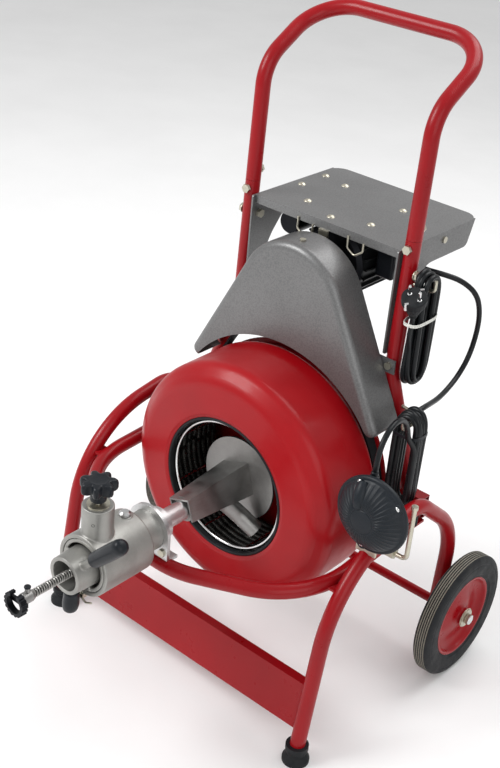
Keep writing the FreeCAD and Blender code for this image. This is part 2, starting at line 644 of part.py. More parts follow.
# clamping knob: seven-lobed head on a screw
lobes = Part.makeCylinder(19.0, 22.0, V(0, -264.0, 455.0))
for i in range(7):
    angle = 2.0 * math.pi * i / 7.0
    lobe = Part.makeCylinder(7.0, 22.0, V(21.0 * math.cos(angle), -264.0 + 21.0 * math.sin(angle), 455.0))
    lobes = lobes.fuse(lobe)
lobes = lobes.fuse(Part.makeCylinder(12.5, 15.0, V(0, -264.0, 440.5)))
lobes = lobes.cut(Part.makeCylinder(4.02, 20.1, V(0, -264.0, 440.0)))
head = doc.addObject("Part::Feature", "knob_head")
head.Shape = lobes.removeSplitter()
spindle = cylinder("knob_spindle", "knob_screw", 75.0, (0, -264.0, 385.0), Z, False)
knob = doc.addObject("Part::Compound", "star_knob")
knob.Links = [head, spindle]
keep("star_knob", knob)
turned("lock_plunger", [(0, 0), (4, 0), (4, 7), ("plunger_radius", 7.5), ("plunger_radius", 11),
                        (6, 14), (0, 14)], (0, -209.0, AXIS + 44.2), Z)

# ---- drain cable -------------------------------------------------------------------------
cylinder("drain_cable", "cable_radius", "cable_length", (0, -386.0, AXIS), Y)
sleeve = turned("coupling_sleeve", [(0, 0), (7, 0), (9, 3), (9, 17), (7, 21.9), (0, 21.9)],
                (0, -408.0, AXIS), Y, False)
pin = cylinder("coupling_pin", 4.0, 8.0, (0, -396.0, AXIS + 9.1), Z, False)
joined = doc.addObject("Part::Compound", "cable_coupling")
joined.Links = [sleeve, pin]
keep("cable_coupling", joined)
blade = rod((0, -422.0, AXIS), Y, 20.0, 10.0)
for i in range(16):
    angle = 2.0 * math.pi * i / 16.0
    notch = rod((20.5 * math.cos(angle), -423.0, AXIS + 20.5 * math.sin(angle)), Y, 2.2, 12.0)
    blade = blade.cut(notch)
blade = blade.cut(rod((0, -423.0, AXIS), Y, 14.0, 12.0))
blade = blade.cut(Part.makeBox(12.0, 14.0, 30.0, V(-6.0, -424.0, AXIS)))
arms = Part.makeBox(32.0, 4.8, 7.0, V(-16.0, -412.9, AXIS - 3.5))
blade = blade.fuse(arms)
solid_node("cutter_head", blade)

# ---- wheels ------------------------------------------------------------------------------
for side, name in ((-1, "left"), (1, "right")):
    along = V(side, 0, 0)
    at = (side * (S["wheel_x"] - 17.0), WY, WZ)
    inner = S["tyre_inner"]
    outer = S["wheel_radius"]
    tyre = turned_shape([(inner, 4.0), (outer - 12.0, 0.5), (outer, 7.0), (outer, 27.0),
                         (outer - 12.0, 33.5), (inner, 30.0)],
                        [3.0, 14.0, 7.0, 7.0, 14.0, 3.0], at, along)
    solid_node("tyre_" + name, tyre)
    turned("rim_" + name, [("axle_bore", 0), (15, 0), (15, 11), (24, 13), (50, 11), (64, 13),
                           (67, 5), ("rim_bead", 4.5), ("rim_bead", 29.5), (67, 29), (64, 21),
                           (50, 19), (24, 21), (15, 23), (15, 34), ("axle_bore", 34)], at, along)

# ---- foot switch and swing rod -------------------------------------------------------------
PX = 280.0
PY = 27.0
PZ = 424.0
disc = turned("pedal_disc", [(0, 0), ("pedal_base", 0), ("pedal_base", 4), (54, 5), (0, 5)],
              (PX, PY + 4.0, PZ), V(0, -1, 0), False)
DOME = S["pedal_radius"]
TIP = S["pedal_depth"]
dome = turned_shape([(DOME, 0.0), (DOME, 5.0), (58.0, 9.0), (18.0, TIP - 1.0), (0.0, TIP), (0.0, 29.0),
                     (17.0, 28.0), (56.0, 8.0), (58.5, 4.0), (58.5, 0.0)],
                    [0, 2.0, 6.0, 10.0, 0, 0, 8.0, 4.0, 1.0, 0], (PX, PY, PZ), V(0, -1, 0))
solid_node("pedal_dome", dome)
hold = Part.makeBox(36.0, 4.0, 84.0, V(PX - 25.0, PY + 4.1, 346.0))
hold = hold.cut(side_skins[1])
hold = sorted(hold.Solids, key=lambda part: part.BoundBox.ZMax)[-1]
stub = rod((PX - 18.0, PY + 16.0, PZ + 34.0), V(0, 0, 1), 6.0, 16.0)
stub = stub.fuse(Part.makeBox(14.0, 12.0, 10.0, V(PX - 25.0, PY + 8.2, PZ + 25.0)))
nipple = doc.addObject("Part::Feature", "pedal_nipple")
nipple.Shape = stub
seat_pair = doc.addObject("Part::Compound", "pedal_base")
seat_pair.Links = [disc, nipple]
keep("pedal_base", seat_pair)
RY = 118.0
RZ = 302.0
boss = hexagon((258.9, RY, RZ), X, 17.0, 16.0)
boss = boss.cut(rod((266.0, RY, RZ), X, S["rod_bore"], 12.0))
solid_node("zinc_brackets", Part.makeCompound([hold, boss]))
path = [V(266.5, RY, RZ), V(296.0, RY, RZ), V(296.0, RY, RZ + 96.0)]
bar_shape = swept(path, [0, 10.0, 0], S["rod_radius"])
bar_shape = bar_shape.fuse(Part.makeCylinder(5.5, 6.0, V(296.0, RY, RZ + 95.0)))
solid_node("swing_rod", bar_shape)

# ---- hooks and cords -----------------------------------------------------------------------
hooks = []
upper = [V(172.9, upright_y(702.0), 702.0), V(210.0, upright_y(702.0), 702.0),
         V(210.0, upright_y(702.0), 720.0)]
hooks.append(swept(upper, [0, 6.0, 0], 3.0))
lower = [V(183.0, 214.0, 497.0), V(233.0, 205.0, 497.0), V(233.0, 151.0, 497.0), V(233.0, 151.0, 513.0)]
hook = swept(lower, [0, 10.0, 6.0, 0], 3.0)
hooks.append(hook.cut(loop_skin))
solid_node("cord_hooks", Part.makeCompound(hooks))


def hank_solid(centre, length, wide, thick, across):
    # elongated coil: straight sides with round ends and a slot up the middle
    up = V(0, 0, 1)
    half = length / 2.0
    r = wide / 2.0
    start = centre - across.cross(up).normalize() * (thick / 2.0)
    depth = across.cross(up).normalize() * thick
    outline = []
    for a, b in ((-r, -half), (r, -half), (r, half), (-r, half)):
        outline.append(start + across * a + up * b)
    shape = slab(outline, [r - 0.01] * 4, depth)
    slot = []
    hole = r * 0.42
    for a, b in ((-hole, hole - half + r * 0.6), (hole, hole - half + r * 0.6),
                 (hole, half - hole - r * 0.6), (-hole, half - hole - r * 0.6)):
        slot.append(start - depth + across * a + up * b)
    return shape.cut(slab(slot, [hole - 0.01] * 4, depth * 3.0))


HANK = V(193.0, 222.0, 633.0)
solid_node("power_cord_hank", hank_solid(HANK, 202.0, 50.0, 27.0, V(0, 1, 0)))
AIR = V(233.0, 176.0, 434.0)
solid_node("air_hose_hank", hank_solid(AIR, 184.0, 38.0, 34.0, V(1, 0, 0)))


def cord(label, points, section):
    # straight runs joined by tangent arcs; each arc takes 0.45 of its shorter neighbour run
    radii = [0]
    for i in range(1, len(points) - 1):
        u = points[i] - points[i - 1]
        v = points[i + 1] - points[i]
        turn = u.getAngle(v)
        radii.append(0.45 * min(u.Length, v.Length) / math.tan(turn / 2.0))
    radii.append(0)
    shape = swept(points, radii, section / 2.0)
    length = rounded_points(points, radii).Length
    ratio = shape.Volume / (math.pi * section * section / 4.0 * length)
    print("cord", label, "length %.0f" % length, "volume ratio %.4f" % ratio,
          "radii", ["%.0f" % r for r in radii[1:-1]])
    return shape


lead = cord("power lead", [V(99.7, 290.0, 680.0), V(119.0, 289.0, 676.0), V(141.0, 280.0, 672.0),
                           V(163.0, 267.0, 670.0), V(182.0, 258.0, 676.0), V(193.0, 247.0, 684.0)], 8.0)
hose = cord("air hose", [V(99.7, 318.0, 684.0), V(124.0, 320.0, 681.0), V(152.0, 330.0, 680.0),
                         V(180.0, 350.0, 672.0), V(198.0, 374.0, 648.0), V(203.0, 387.0, 612.0),
                         V(203.0, 388.0, 572.0), V(204.0, 374.0, 534.0), V(207.0, 342.0, 510.0),
                         V(212.0, 304.0, 501.0), V(219.0, 268.0, 502.0), V(225.0, 236.0, 508.0),
                         V(230.0, 212.0, 513.5), V(233.0, 193.0, 516.0)], 9.0)
drop = cord("pedal hose", [V(262.0, 43.0, 474.2), V(261.6, 44.0, 504.0), V(258.5, 60.0, 532.0),
                           V(253.5, 92.0, 545.0), V(249.5, 124.0, 534.0), V(247.0, 143.0, 508.0),
                           V(246.0, 149.0, 488.0), V(245.5, 159.0, 472.0)], 9.0)
solid_node("air_hose", Part.makeCompound([hose, drop]))

# mains plug tucked against the front of the hank, face up, on a short tail
FACE = V(209.0, 165.0, 710.0)
PLUG_WAY = V(-0.2, 0.42, -0.88).normalize()
plug = turned_shape([(0, 0), (18.5, 0), (19.5, 4), (19.5, 12), (13, 26), (9, 38), (6.5, 46), (0, 46)],
                    [0, 2.0, 1.0, 3.0, 6.0, 4.0, 1.0, 0], FACE, PLUG_WAY)
contacts = []
across = PLUG_WAY.cross(Y).normalize()
for reach in (-9.5, 9.5):
    contacts.append(Part.makeCylinder(2.4, 19.0, FACE + across * reach, -PLUG_WAY))
solid_node("mains_plug", Part.makeCompound([plug] + contacts))
tail = cord("plug tail", [V(199.8, 184.4, 669.4), V(197.5, 188.6, 659.0), V(195.8, 190.2, 645.0),
                          V(194.5, 190.6, 630.0), V(193.5, 197.0, 614.0)], 8.0)
solid_node("power_cord", Part.makeCompound([lead, tail]))

doc.recompute()
os.makedirs("parts", exist_ok=True)
problems = []
for obj in doc.Objects:
    state = " ".join(obj.State)
    if "Invalid" in state or "Error" in state:
        problems.append(obj.Label + " " + state)
for obj in NODES:
    shape = obj.Shape
    if shape.isNull() or not shape.isValid() or not shape.Solids:
        problems.append(obj.Label + " has no valid solid")
if problems:
    for line in problems:
        print("PROBLEM", line)
    raise RuntimeError("shapes need repair")
for obj in NODES:
    obj.Shape.exportStep("parts/" + obj.Label + ".step")
print("nodes written:", len(NODES))
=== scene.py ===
import bpy
import json
import math
from mathutils import Matrix, Vector, noise


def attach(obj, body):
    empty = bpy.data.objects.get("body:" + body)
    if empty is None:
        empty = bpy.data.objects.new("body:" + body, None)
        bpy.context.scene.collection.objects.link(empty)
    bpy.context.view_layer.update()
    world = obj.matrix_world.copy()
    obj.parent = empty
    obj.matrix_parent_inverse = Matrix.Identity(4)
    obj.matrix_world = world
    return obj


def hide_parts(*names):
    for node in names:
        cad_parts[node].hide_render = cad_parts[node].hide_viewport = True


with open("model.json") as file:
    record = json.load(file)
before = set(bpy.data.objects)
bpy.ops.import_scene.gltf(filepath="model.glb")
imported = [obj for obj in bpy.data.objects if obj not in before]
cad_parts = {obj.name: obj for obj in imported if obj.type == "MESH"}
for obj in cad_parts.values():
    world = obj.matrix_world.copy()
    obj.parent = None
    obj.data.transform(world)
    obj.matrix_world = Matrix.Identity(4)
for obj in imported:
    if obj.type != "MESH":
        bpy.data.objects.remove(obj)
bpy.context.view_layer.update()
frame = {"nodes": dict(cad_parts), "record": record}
NODES = frame["nodes"]
SCENE = bpy.context.scene
SCENE.view_settings.view_transform = "Standard"
MM = 0.001

# places that several pieces share, in metres
DRUM_Z = 0.338
AXLE_Y = 0.289
AXLE_Z = 0.112
NOSE_Y = -0.309
CLAMP_Y = -0.264
PEDAL_X = 0.280
PEDAL_Y = 0.027
PEDAL_Z = 0.424
GUIDE_OUTLET_Y = -0.0385

# ---- camera ------------------------------------------------------------------------------

CAMERA_AT = (1.1065, -1.3375, 1.5012)
CAMERA_LENS = 60.56
SENSOR_WIDTH = 36.0
azimuth = math.radians(38.38)
elevation = math.radians(29.02)
roll = math.radians(5.31)
level_right = Vector((math.cos(azimuth), math.sin(azimuth), 0))
back = Vector((math.sin(azimuth) * math.cos(elevation),
               -math.cos(azimuth) * math.cos(elevation), math.sin(elevation)))
level_up = back.cross(level_right)
cam_x = level_right * math.cos(roll) + level_up * math.sin(roll)
cam_y = level_up * math.cos(roll) - level_right * math.sin(roll)
turn = Matrix((cam_x, cam_y, back)).transposed().to_4x4()
cam_data = bpy.data.cameras.new("camera")
cam_data.sensor_width = SENSOR_WIDTH
cam_data.lens = CAMERA_LENS
cam_data.clip_end = 60.0
camera = bpy.data.objects.new("camera", cam_data)
camera.matrix_world = Matrix.Translation(CAMERA_AT) @ turn
SCENE.collection.objects.link(camera)
SCENE.camera = camera

# ---- materials ---------------------------------------------------------------------------


class Look:
    """A procedural material on object coordinates, in metres."""

    def __init__(self, name, metal=0.0, coat=0.0, coat_rough=0.06, specular=0.5):
        self.mat = bpy.data.materials.new(name)
        self.mat.use_nodes = True
        self.tree = self.mat.node_tree
        self.shader = self.tree.nodes["Principled BSDF"]
        self.shader.inputs["Metallic"].default_value = metal
        self.shader.inputs["Coat Weight"].default_value = coat
        self.shader.inputs["Coat Roughness"].default_value = coat_rough
        self.shader.inputs["Specular IOR Level"].default_value = specular
        self.place = self.tree.nodes.new("ShaderNodeTexCoord").outputs["Object"]
        self.normal = None

    def link(self, a, b):
        self.tree.links.new(a, b)

    def stretched(self, scale):
        node = self.tree.nodes.new("ShaderNodeMapping")
        node.inputs["Scale"].default_value = scale
        self.link(self.place, node.inputs["Vector"])
        return node.outputs["Vector"]

    def noise(self, scale, detail=3.0, rough=0.55, where=None):
        node = self.tree.nodes.new("ShaderNodeTexNoise")
        node.inputs["Scale"].default_value = scale
        node.inputs["Detail"].default_value = detail
        node.inputs["Roughness"].default_value = rough
        self.link(where or self.place, node.inputs["Vector"])
        return node.outputs["Fac"]

    def cells(self, scale, smooth=0.6):
        node = self.tree.nodes.new("ShaderNodeTexVoronoi")
        node.feature = "SMOOTH_F1"
        node.inputs["Scale"].default_value = scale
        node.inputs["Smoothness"].default_value = smooth
        self.link(self.place, node.inputs["Vector"])
        return node.outputs["Distance"]

    def ramp(self, source, stops):
        node = self.tree.nodes.new("ShaderNodeValToRGB")
        while len(node.color_ramp.elements) < len(stops):
            node.color_ramp.elements.new(0.5)
        for element, (at, colour) in zip(node.color_ramp.elements, stops):
            element.position = at
            element.color = (*colour, 1.0)
        self.link(source, node.inputs["Fac"])
        return node.outputs["Color"]

    def blend(self, first, second, factor=None, amount=0.5, mode="MIX"):
        node = self.tree.nodes.new("ShaderNodeMix")
        node.data_type = "RGBA"
        node.blend_type = mode
        node.inputs["Factor"].default_value = amount
        self.link(first, node.inputs["A"])
        self.link(second, node.inputs["B"])
        if factor is not None:
            self.link(factor, node.inputs["Factor"])
        return node.outputs["Result"]

    def colour(self, source):
        self.link(source, self.shader.inputs["Base Color"])

    def rough(self, source, low, high, at=(0.3, 0.7)):
        node = self.tree.nodes.new("ShaderNodeMapRange")
        node.inputs["From Min"].default_value = at[0]
        node.inputs["From Max"].default_value = at[1]
        node.inputs["To Min"].default_value = low
        node.inputs["To Max"].default_value = high
        self.link(source, node.inputs["Value"])
        self.link(node.outputs["Result"], self.shader.inputs["Roughness"])

    def bump(self, source, depth, strength=1.0):
        node = self.tree.nodes.new("ShaderNodeBump")
        node.inputs["Distance"].default_value = depth
        node.inputs["Strength"].default_value = strength
        self.link(source, node.inputs["Height"])
        if self.normal is not None:
            self.link(self.normal, node.inputs["Normal"])
        self.normal = node.outputs["Normal"]
        self.link(self.normal, self.shader.inputs["Normal"])


def toned(colour, factor):
    return tuple(min(1.0, c * factor) for c in colour)


def paint(name, colour, coat=0.1, low=0.26, high=0.38):
    look = Look(name, coat=coat, coat_rough=0.14, specular=0.22)
    broad = look.noise(6.0, 4.0)
    fine = look.noise(420.0, 3.0)
    tone = look.ramp(broad, [(0.35, toned(colour, 0.86)), (0.5, colour),
                             (0.68, toned(colour, 1.12))])
    grain = look.ramp(fine, [(0.3, toned(colour, 0.9)), (0.7, toned(colour, 1.1))])
    look.colour(look.blend(tone, grain, amount=0.3))
    look.rough(look.noise(45.0, 5.0), low, high)
    look.bump(fine, 0.00004, 0.4)
    return look.mat


def rubber(name, colour, grain=900.0, dust=0.25, low=0.5, high=0.7, depth=0.00012):
    look = Look(name, specular=0.25)
    tone = look.ramp(look.noise(grain * 0.6, 4.0),
                     [(0.35, toned(colour, 0.7)), (0.65, toned(colour, 1.35))])
    dusty = look.ramp(look.noise(22.0, 6.0, 0.65),
                      [(0.45, colour), (0.8, (0.11, 0.105, 0.095))])
    look.colour(look.blend(tone, dusty, amount=dust))
    look.rough(look.noise(60.0, 4.0), low, high)
    look.bump(look.noise(grain, 3.0), depth, 0.6)
    return look.mat


def metal(name, colour, low, high, grain=300.0, depth=0.00005, stretch=None, blotch=14.0,
          dark=0.72):
    look = Look(name, metal=1.0)
    where = look.stretched(stretch) if stretch else look.place
    lines = look.noise(grain, 5.0, 0.6, where)
    cloud = look.noise(blotch, 6.0, 0.6)
    tone = look.ramp(cloud, [(0.35, toned(colour, dark)), (0.62, colour),
                             (0.8, toned(colour, 1.08))])
    marks = look.ramp(lines, [(0.3, toned(colour, 0.78)), (0.7, toned(colour, 1.1))])
    look.colour(look.blend(tone, marks, amount=0.4))
    look.rough(cloud, low, high)
    look.bump(lines, depth, 0.7)
    return look.mat


def hammertone(name, colour):
    look = Look(name, metal=0.55, coat=0.25, coat_rough=0.2)
    cells = look.cells(430.0)
    fine = look.noise(1300.0, 3.0)
    broad = look.noise(7.0, 5.0)
    spots = look.ramp(cells, [(0.1, toned(colour, 1.25)), (0.45, colour),
                              (0.7, toned(colour, 0.72))])
    tone = look.ramp(broad, [(0.35, toned(colour, 0.85)), (0.65, toned(colour, 1.15))])
    look.colour(look.blend(spots, tone, amount=0.5))
    look.rough(fine, 0.34, 0.5)
    look.bump(cells, 0.00022, 0.5)
    look.bump(fine, 0.00005, 0.4)
    return look.mat


def cast(name, colour):
    look = Look(name, metal=0.85)
    grit = look.noise(1500.0, 4.0, 0.6)
    pits = look.cells(900.0)
    cloud = look.noise(28.0, 6.0, 0.6)
    tone = look.ramp(cloud, [(0.3, toned(colour, 0.7)), (0.55, colour),
                             (0.8, toned(colour, 1.15))])
    grains = look.ramp(grit, [(0.35, toned(colour, 0.75)), (0.65, toned(colour, 1.12))])
    look.colour(look.blend(tone, grains, amount=0.45))
    look.rough(grit, 0.38, 0.55)
    look.bump(pits, 0.00016, 0.35)
    look.bump(grit, 0.00008, 0.6)
    return look.mat


RED = (0.285, 0.003, 0.0065)
LOOKS = {
    "red_paint": paint("red_gloss_paint", RED),
    "drum_red": paint("drum_gloss_paint", (0.335, 0.003, 0.0065), 0.1, 0.3, 0.42),
    "rim_red": paint("rim_gloss_paint", (0.30, 0.004, 0.008)),
    "grey_hammertone": hammertone("grey_hammer_paint", (0.165, 0.165, 0.165)),
    "cast_alloy": cast("cast_aluminium", (0.36, 0.355, 0.335)),
    "turned_alloy": metal("turned_aluminium", (0.66, 0.66, 0.66), 0.26, 0.42, 500.0, 0.00004,
                          (1.0, 9.0, 1.0)),
    "plain_steel": metal("plain_steel", (0.36, 0.355, 0.345), 0.36, 0.54, 260.0, 0.00006,
                         (1.0, 0.3, 5.0), 24.0, 0.62),
    "zinc_steel": metal("zinc_plate", (0.60, 0.57, 0.47),
                        0.28, 0.45, 700.0, 0.00004, None, 60.0, 0.7),
    "chrome_wire": metal("chrome_wire", (0.78, 0.78, 0.78), 0.1, 0.2, 900.0, 0.00002),
    "cable_steel": metal("spring_steel", (0.22, 0.215, 0.205), 0.32, 0.5, 1200.0, 0.00005,
                         None, 80.0, 0.5),
    "black_rubber": rubber("black_rubber", (0.0075, 0.009, 0.011), 1400.0, 0.08),
    "tyre_rubber": rubber("tyre_rubber", (0.009, 0.010, 0.012), 1100.0, 0.16, 0.5, 0.7, 0.0002),
    "tyre_groove": rubber("tyre_groove_dust", (0.30, 0.28, 0.235), 1300.0, 0.1, 0.7, 0.9),
    "black_plastic": rubber("moulded_plastic", (0.0075, 0.0095, 0.013),
                            1700.0, 0.05, 0.3, 0.42, 0.0001),
    "switch_rubber": rubber("switch_rubber", (0.009, 0.0125, 0.017),
                            1200.0, 0.08, 0.36, 0.5, 0.0001),
    "cord_sheath": rubber("cord_sheath", (0.006, 0.0075, 0.009),
                          1800.0, 0.04, 0.26, 0.38, 0.00006),
    "black_metal": metal("blacked_steel", (0.022, 0.023, 0.026), 0.35, 0.5, 800.0, 0.00006),
    "motor_case": rubber("motor_casting_paint", (0.007, 0.008, 0.009),
                         1000.0, 0.1, 0.35, 0.5, 0.00015),
    "white_nylon": rubber("white_nylon", (0.62, 0.62, 0.58), 900.0, 0.1, 0.4, 0.5, 0.00006),
}
RECORD_SLOT = {}
for row in frame["record"]["subparts"]:
    RECORD_SLOT[row["node"]] = row["material_slot"]
NODE_LOOK = {
    "drum_front_shell": "drum_red", "drum_rear_shell": "drum_red", "pedal_base": "black_plastic",
    "rubber_feet": "black_rubber", "mains_plug": "black_rubber",
}
for node_name, node in NODES.items():
    look_name = NODE_LOOK.get(node_name, RECORD_SLOT[node_name])
    node.data.materials.clear()
    node.data.materials.append(LOOKS[look_name])

# the outlet of the guide tube is bare steel, the tube in front of it turned alloy
guide_mesh = NODES["guide_tube"].data
guide_mesh.materials.append(LOOKS["plain_steel"])
for face in guide_mesh.polygons:
    if face.center.y > GUIDE_OUTLET_Y:
        face.material_index = 1

# ---- mesh helpers ------------------------------------------------------------------------


def add_mesh(name, points, faces, look, body, smooth=True, angle=40.0):
    mesh = bpy.data.meshes.new(name)
    mesh.from_pydata([tuple(p) for p in points], [], faces)
    mesh.validate()
    obj = bpy.data.objects.new(name, mesh)
    SCENE.collection.objects.link(obj)
    mesh.materials.append(LOOKS[look])
    if smooth:
        mesh.shade_smooth()
        mesh.set_sharp_from_angle(angle=math.radians(angle))
    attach(obj, body)
    return obj


def axes_of(direction):
    up = Vector(direction).normalized()
    side = up.orthogonal().normalized()
    if abs(up.z) > 0.99:
        side = Vector((1, 0, 0))
    return side, up.cross(side).normalized(), up


def rounded(profile, steps=3):
    """Corners of an open (radius, height[, rounding]) outline replaced by short curves."""
    out = []
    for i, corner in enumerate(profile):
        size = corner[2] if len(corner) > 2 else 0.0
        b = Vector(corner[:2])
        if size <= 0 or i == 0 or i == len(profile) - 1:
            out.append(b)
            continue
        a = Vector(profile[i - 1][:2])
        c = Vector(profile[i + 1][:2])
        first = b + (a - b).normalized() * min(size, (a - b).length * 0.48)
        last = b + (c - b).normalized() * min(size, (c - b).length * 0.48)
        for k in range(steps + 1):
            t = k / steps
            out.append(first * (1 - t) ** 2 + b * 2 * t * (1 - t) + last * t ** 2)
    return out


def lathe(profile, at, direction, steps=64, wobble=None):
    """Points and faces of an outline in mm turned about an axis; at is in metres."""
    side, other, up = axes_of(direction)
    at = Vector(at)
    points = []
    faces = []
    rings = []
    for radius, height in profile:
        if radius < 1e-6:
            rings.append([len(points)])
            points.append(at + up * height * MM)
            continue
        ring = []
        for i in range(steps):
            angle = 2 * math.pi * i / steps
            r, h = radius, height
            if wobble:
                r, h = wobble(radius, height, angle)
            ring.append(len(points))
            spoke = side * math.cos(angle) + other * math.sin(angle)
            points.append(at + spoke * r * MM + up * h * MM)
        rings.append(ring)
    for low, high in zip(rings, rings[1:]):
        for i in range(steps):
            j = (i + 1) % steps
            if len(low) == 1 and len(high) == 1:
                break
            if len(low) == 1:
                faces.append((low[0], high[j], high[i]))
            elif len(high) == 1:
                faces.append((low[i], low[j], high[0]))
            else:
                faces.append((low[i], low[j], high[j], high[i]))
    return points, faces


def merged(parts):
    points = []
    faces = []
    for some_points, some_faces in parts:
        base = len(points)
        points = points + list(some_points)
        faces = faces + [tuple(i + base for i in face) for face in some_faces]
    return points, faces


def tube(path, radius, segments=10, closed=False):
    """A round mesh tube along points in metres, with a steady frame."""
    count = len(path)
    tangents = []
    for i in range(count):
        if closed:
            tangents.append((path[(i + 1) % count] - path[i - 1]).normalized())
        else:
            a = path[max(i - 1, 0)]
            b = path[min(i + 1, count - 1)]
            tangents.append((b - a).normalized())
    side = tangents[0].orthogonal().normalized()
    points = []
    faces = []
    for i in range(count):
        side = (side - tangents[i] * side.dot(tangents[i])).normalized()
        other = tangents[i].cross(side)
        for k in range(segments):
            angle = 2 * math.pi * k / segments
            points.append(path[i] + (side * math.cos(angle) + other * math.sin(angle)) * radius)
    for i in range(count if closed else count - 1):
        j = (i + 1) % count
        for k in range(segments):
            n = (k + 1) % segments
            faces.append((i * segments + k, i * segments + n, j * segments + n, j * segments + k))
    if not closed:
        faces.append(tuple(range(segments - 1, -1, -1)))
        faces.append(tuple(range((count - 1) * segments, count * segments)))
    return points, faces


def band(path, width, thick):
    """A flat closed strap along a level loop of points in metres."""
    count = len(path)
    middle = sum(path, Vector()) / count
    points = []
    faces = []
    for point in path:
        out = (point - middle).normalized()
        for across, rise in ((0, -0.5), (1, -0.4), (1, 0.4), (0, 0.5)):
            points.append(point + out * thick * across + Vector((0, 0, width * rise)))
    for i in range(count):
        j = (i + 1) % count
        for k in range(4):
            n = (k + 1) % 4
            faces.append((i * 4 + k, j * 4 + k, j * 4 + n, i * 4 + n))
    return points, faces


def block(centre, size, direction=(0, 0, 1)):
    side, other, up = axes_of(direction)
    points = []
    for a in (-0.5, 0.5):
        for b in (-0.5, 0.5):
            for c in (-0.5, 0.5):
                points.append(Vector(centre) + side * size[0] * a + other * size[1] * b
                              + up * size[2] * c)
    faces = [(0, 1, 3, 2), (4, 6, 7, 5), (0, 4, 5, 1), (2, 3, 7, 6), (0, 2, 6, 4), (1, 5, 7, 3)]
    return points, faces


def soften(obj, width, segments=2):
    """Rounds the hard edges of a sheet or machined part."""
    weld = obj.modifiers.new("weld", "WELD")
    weld.merge_threshold = 0.00001
    bevel = obj.modifiers.new("edge", "BEVEL")
    bevel.width = width
    bevel.segments = segments
    bevel.limit_method = "ANGLE"
    bevel.angle_limit = math.radians(35.0)
    obj.modifiers.new("shade", "WEIGHTED_NORMAL")


def melted(name, node_name, voxel, rounds, look, body):
    """A cast copy of a CAD node: corners and joins flow together as in a casting."""
    mesh = NODES[node_name].data.copy()
    obj = bpy.data.objects.new(name, mesh)
    SCENE.collection.objects.link(obj)
    mesh.materials.clear()
    mesh.materials.append(LOOKS[look])
    remesh = obj.modifiers.new("remesh", "REMESH")
    remesh.mode = "VOXEL"
    remesh.voxel_size = voxel
    remesh.use_smooth_shade = True
    smooth = obj.modifiers.new("smooth", "SMOOTH")
    smooth.factor = 0.5
    smooth.iterations = rounds
    graph = bpy.context.evaluated_depsgraph_get()
    done = bpy.data.meshes.new_from_object(obj.evaluated_get(graph))
    obj.modifiers.clear()
    obj.data = done
    done.shade_smooth()
    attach(obj, body)
    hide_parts(node_name)
    return obj


# ---- cords -------------------------------------------------------------------------------


def spline_cord(name, points, diameter, look):
    curve = bpy.data.curves.new(name, "CURVE")
    curve.dimensions = "3D"
    curve.bevel_depth = 1.0
    curve.bevel_resolution = 4
    curve.resolution_u = 6
    curve.use_fill_caps = True
    spline = curve.splines.new("NURBS")
    spline.points.add(len(points) - 1)
    for item, point in zip(spline.points, points):
        item.co = (point[0] * MM, point[1] * MM, point[2] * MM, 1.0)
        item.radius = diameter / 2
    spline.order_u = 3
    spline.use_endpoint_u = True
    obj = bpy.data.objects.new(name, curve)
    SCENE.collection.objects.link(obj)
    curve.materials.append(LOOKS[look])
    return obj


TURN_POINTS = 14
HALF_TURN = TURN_POINTS // 2


def hank_turns(centre, across, through, turns, start, stop):
    """Points in mm of a hank of long loops with round ends.

    A turn is (half width, half height, offset); start and stop are parts of a turn.
    """
    centre = Vector(centre)
    across = Vector(across)
    through = Vector(through)
    up = Vector((0, 0, 1))
    out = []
    first = int(round(start * TURN_POINTS))
    last = int(round((len(turns) - 1 + stop) * TURN_POINTS))
    for i in range(first, last + 1):
        place = i / TURN_POINTS
        low = min(int(place), len(turns) - 1)
        high = min(low + 1, len(turns) - 1)
        t = place - low
        t = t * t * (3 - 2 * t)
        wide, tall, offset = [turns[low][k] * (1 - t) + turns[high][k] * t for k in range(3)]
        step = i % HALF_TURN
        bend = math.radians(60 * (step - 2))
        if step < 2:
            a, b = wide, (tall - wide) * step / 2
        elif step < 6:
            a, b = wide * math.cos(bend), tall - wide + wide * math.sin(bend)
        else:
            a, b = -wide, (tall - wide) / 2
        if i % TURN_POINTS >= HALF_TURN:
            a, b = -a, -b
        sway = math.sin(place * 2.4) * 1.1
        out.append(centre + across * (a + sway * 0.5) - up * b + through * (offset + sway))
    return out


# routes and turns in mm; a route starts at the terminal box or at the end of its hank
lead_route = [(99.7, 290, 680), (119, 289, 676), (141, 280, 672), (163, 267, 670),
              (182, 258, 676)]
lead_turns = [(13, 89, -8), (13, 86, -8), (12.5, 90, 0), (13, 87, 8), (21, 93, 9), (22, 98, -9),
              (21, 94, 0.5)]
tail_route = [(193.5, 197, 614), (194.5, 190.6, 630), (195.8, 190.2, 645), (197.5, 188.6, 659),
              (199.8, 184.4, 669.4)]
lead_hank = hank_turns((193, 222, 633), (0, 1, 0), (1, 0, 0), lead_turns, 0.0, 0.40)
lead_points = lead_route + [tuple(p) for p in lead_hank] + tail_route
power_line = spline_cord("power_cord_line", lead_points, 0.008, "cord_sheath")
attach(power_line, "frame")
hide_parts("power_cord", "power_cord_hank")

